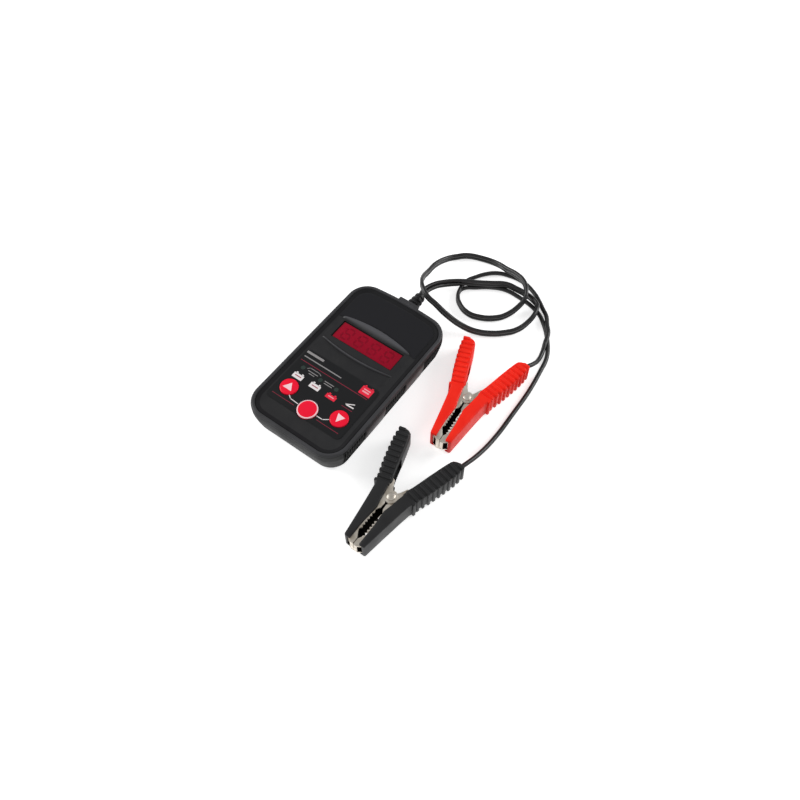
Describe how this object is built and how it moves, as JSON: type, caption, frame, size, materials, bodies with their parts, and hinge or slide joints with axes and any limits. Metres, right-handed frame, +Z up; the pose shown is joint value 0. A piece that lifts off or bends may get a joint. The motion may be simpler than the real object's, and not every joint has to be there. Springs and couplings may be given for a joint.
{
  "type": "battery tester",
  "caption": "Hand-held automotive battery tester with a red LED display, round keys, and a twin cable that splits into two insulated battery clips.",
  "frame": {"origin": "on the surface that the tester lies on, under the middle of the case measured over its cable boss", "axes": "+Z up out of the display face, +Y from the keys towards the cable end, +X towards the right-hand side of the face"},
  "size_m": [0.1307, 0.2221, 0.0209],
  "materials": {
    "case_plastic": "fine textured black ABS",
    "label_film": "printed black polycarbonate film",
    "red_window": "dark red transparent acrylic",
    "module_plastic": "LED display body",
    "board_laminate": "green solder mask",
    "component_plastic": "black moulded package",
    "key_plastic": "satin crimson plastic",
    "lamp_lens": "clear LED lens, unlit",
    "resistor_ceramic": "cement coated",
    "capacitor_can": "sleeved can",
    "screw_steel": "zinc plated",
    "foot_rubber": "matt black rubber",
    "relief_rubber": "moulded soft PVC",
    "wire_insulation": "PVC insulation",
    "cable_jacket": "smooth black PVC",
    "red_grip_plastic": "soft red PVC",
    "black_grip_plastic": "soft black PVC",
    "nickel_steel": "nickel plated pressed steel",
    "rivet_steel": "polished nickel plate",
    "spring_steel": "oiled dark spring wire",
    "crimp_brass": "tinned brass"
  },
  "bodies": {
    "tester": {"rear_shell": "case_plastic", "front_shell": "case_plastic", "upper_label": "label_film", "key_label": "label_film", "display_window": "red_window", "display_module": "module_plastic", "circuit_board": "board_laminate", "tact_switches": "component_plastic", "indicator_leds": "lamp_lens", "processor_chip": "component_plastic", "power_transistor": "component_plastic", "load_resistors": "resistor_ceramic", "capacitors": "capacitor_can", "case_screws": "screw_steel", "rubber_feet": "foot_rubber", "strain_relief": "relief_rubber", "inner_leads": "wire_insulation", "cable_clamp": "screw_steel", "clamp_screws": "screw_steel", "twin_cable": "cable_jacket", "red_lead": "cable_jacket", "black_lead": "cable_jacket", "red_grip_fixed": "red_grip_plastic", "red_jaw_fixed": "nickel_steel", "red_rivet": "rivet_steel", "red_spring_fixed": "spring_steel", "red_crimp": "crimp_brass", "black_grip_fixed": "black_grip_plastic", "black_jaw_fixed": "nickel_steel", "black_rivet": "rivet_steel", "black_spring_fixed": "spring_steel", "black_crimp": "crimp_brass"},
    "up_key": {"button_up": "key_plastic"},
    "enter_key": {"button_enter": "key_plastic"},
    "down_key": {"button_down": "key_plastic"},
    "red_lever": {"red_grip_moving": "red_grip_plastic", "red_jaw_moving": "nickel_steel", "red_spring_moving": "spring_steel"},
    "black_lever": {"black_grip_moving": "black_grip_plastic", "black_jaw_moving": "nickel_steel", "black_spring_moving": "spring_steel"}
  },
  "joints": [
    {"name": "up_key_press", "type": "slide", "parent": "tester", "child": "up_key", "axis": [0, 0, -1], "range_m": [0, 0.0006], "stiffness_N_per_m": 400, "springref_m": -0.0003},
    {"name": "enter_key_press", "type": "slide", "parent": "tester", "child": "enter_key", "axis": [0, 0, -1], "range_m": [0, 0.0006], "stiffness_N_per_m": 400, "springref_m": -0.0003},
    {"name": "down_key_press", "type": "slide", "parent": "tester", "child": "down_key", "axis": [0, 0, -1], "range_m": [0, 0.0006], "stiffness_N_per_m": 400, "springref_m": -0.0003},
    {"name": "red_clip_squeeze", "type": "hinge", "parent": "tester", "child": "red_lever", "pos_m": [0.0685, 0.0248, 0.007], "axis": [0, 0, -1], "range_deg": [0, 40], "stiffness_Nm_per_rad": 0.8, "springref_deg": -20.05},
    {"name": "black_clip_squeeze", "type": "hinge", "parent": "tester", "child": "black_lever", "pos_m": [0.07, -0.0544, 0.007], "axis": [0, 0, -1], "range_deg": [0, 40], "stiffness_Nm_per_rad": 0.8, "springref_deg": -20.05}
  ]
}
